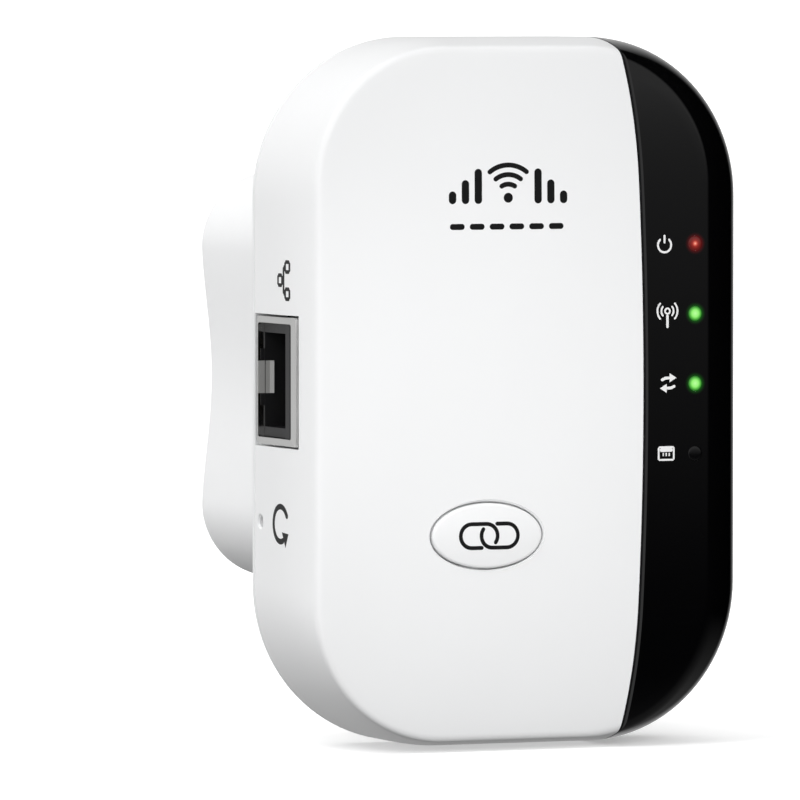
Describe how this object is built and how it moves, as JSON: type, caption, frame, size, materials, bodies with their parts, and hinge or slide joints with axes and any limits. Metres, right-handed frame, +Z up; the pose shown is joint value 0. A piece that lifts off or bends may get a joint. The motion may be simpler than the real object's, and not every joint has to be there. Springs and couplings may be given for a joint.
{
  "type": "wireless range extender",
  "caption": "Plug-in wireless range extender: rounded white case with a glossy black side panel, status lights, oval push button, side network port and plug housing.",
  "frame": {"origin": "centre of the plug face, midway between the two plug pins, where the unit meets the wall socket", "axes": "+X to the right seen from the room, +Y into the wall along the pins, +Z up"},
  "size_m": [0.0624, 0.0674, 0.0894],
  "materials": {
    "white_housing": "satin moulded",
    "black_lens": "polished",
    "grey_housing": "fine texture",
    "plated_pin": "nickel plated",
    "sleeve_plastic": "smooth",
    "spring_brass": "tinned brass",
    "power_board": "paper laminate",
    "ferrite": "dull",
    "winding_tape": "tape",
    "dark_plastic": "moulded",
    "capacitor_sleeve": "shrink sleeve",
    "chip_black": "moulded",
    "resistor_body": "lacquered",
    "clear_sheet": "thin film",
    "gold_contact": "gold flash",
    "main_board": "solder mask",
    "shield_metal": "tin plated",
    "crystal_can": "bright",
    "copper_antenna": "stamped",
    "button_white": "satin moulded",
    "switch_black": "moulded",
    "screw_steel": "zinc plated",
    "led_body": "resin",
    "clear_pipe": "clear moulded"
  },
  "bodies": {
    "case": {"antenna_left": "copper_antenna", "antenna_right": "copper_antenna", "board_screws": "screw_steel", "bridge_rectifier": "chip_black", "case_screws": "screw_steel", "choke_coil": "ferrite", "crystal": "crystal_can", "data_led": "led_body", "data_light_pipe": "clear_pipe", "flash_chip": "chip_black", "front_cover": "white_housing", "fuse_resistor": "resistor_body", "housing_screws": "screw_steel", "input_capacitors": "capacitor_sleeve", "insulation_sheet": "clear_sheet", "lan_contacts": "gold_contact", "lan_jack_body": "dark_plastic", "lan_jack_shell": "shield_metal", "lan_magnetics": "chip_black", "lens_panel": "black_lens", "link_header": "dark_plastic", "link_pins": "gold_contact", "main_board": "main_board", "output_capacitor": "capacitor_sleeve", "pairing_switch_base": "shield_metal", "pin_sleeves": "sleeve_plastic", "plug_contacts": "spring_brass", "plug_housing": "grey_housing", "plug_pin_left": "plated_pin", "plug_pin_right": "plated_pin", "port_led": "led_body", "port_light_pipe": "clear_pipe", "power_board": "power_board", "power_controller": "chip_black", "power_inductor": "ferrite", "power_led": "led_body", "power_light_pipe": "clear_pipe", "radio_chip": "chip_black", "rear_cover": "white_housing", "reset_switch_base": "shield_metal", "shield_can": "shield_metal", "signal_led": "led_body", "signal_light_pipe": "clear_pipe", "transformer_bobbin": "dark_plastic", "transformer_core": "ferrite", "transformer_winding": "winding_tape", "voltage_regulator": "chip_black"},
    "button": {"pairing_button": "button_white"},
    "switch_plunger": {"pairing_switch_plunger": "switch_black"},
    "reset_plunger": {"reset_switch_plunger": "switch_black"}
  },
  "joints": [
    {"name": "button_press", "type": "slide", "parent": "case", "child": "button", "axis": [0, 1, 0], "range_m": [0, 0.0003], "stiffness_N_per_m": 1500, "springref_m": -0.0005},
    {"name": "switch_press", "type": "slide", "parent": "case", "child": "switch_plunger", "axis": [0, 1, 0], "range_m": [0, 0.0003]},
    {"name": "reset_press", "type": "slide", "parent": "case", "child": "reset_plunger", "axis": [1, 0, 0], "range_m": [0, 0.00025], "stiffness_N_per_m": 1200, "springref_m": -0.0005}
  ],
  "couplings": [
    {"joint": "switch_press", "follows": "button_press", "ratio": 1}
  ]
}
